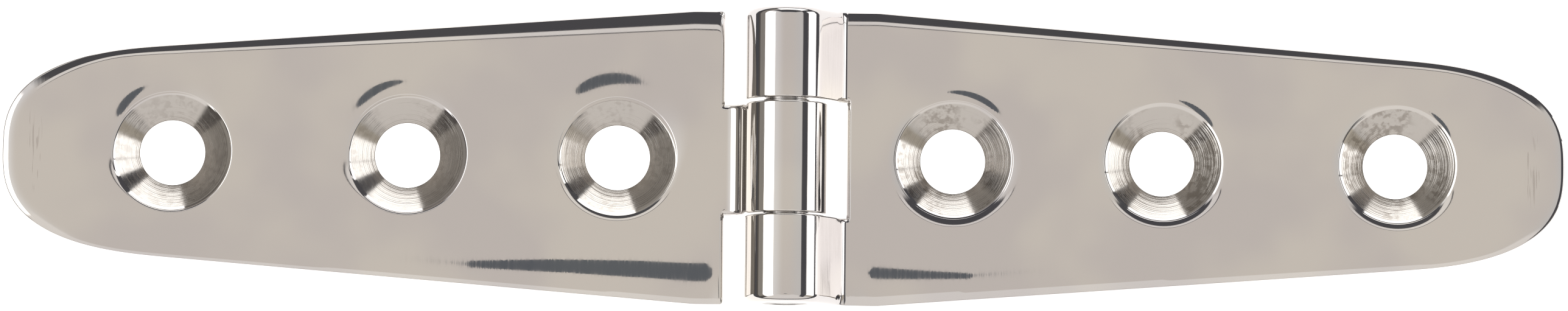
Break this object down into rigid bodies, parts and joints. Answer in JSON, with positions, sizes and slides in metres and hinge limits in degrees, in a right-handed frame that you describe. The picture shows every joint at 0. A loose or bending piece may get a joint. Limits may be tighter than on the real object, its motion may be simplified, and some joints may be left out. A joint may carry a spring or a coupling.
{
  "type": "strap hinge",
  "caption": "Polished steel strap hinge with tapered round-nosed leaves, countersunk screw holes and interlocking knuckles on a flush pin, lying open flat.",
  "frame": {"origin": "on the leaves' back plane, under the middle of the pin", "axes": "+X along the right leaf towards its tip, +Y along the pin, +Z out of the countersunk front face"},
  "size_m": [0.1524, 0.0286, 0.008],
  "materials": {
    "polished_stainless": "mirror-polished stainless steel with fine buffing marks",
    "pin_steel": "ground stainless steel"
  },
  "bodies": {
    "left_leaf": {"left_leaf": "polished_stainless"},
    "right_leaf": {"right_leaf": "polished_stainless", "hinge_pin": "pin_steel"}
  },
  "joints": [
    {"name": "fold", "type": "hinge", "parent": "left_leaf", "child": "right_leaf", "pos_m": [0, 0, 0.004], "axis": [0, -1, 0], "range_deg": [-110, 180]}
  ]
}
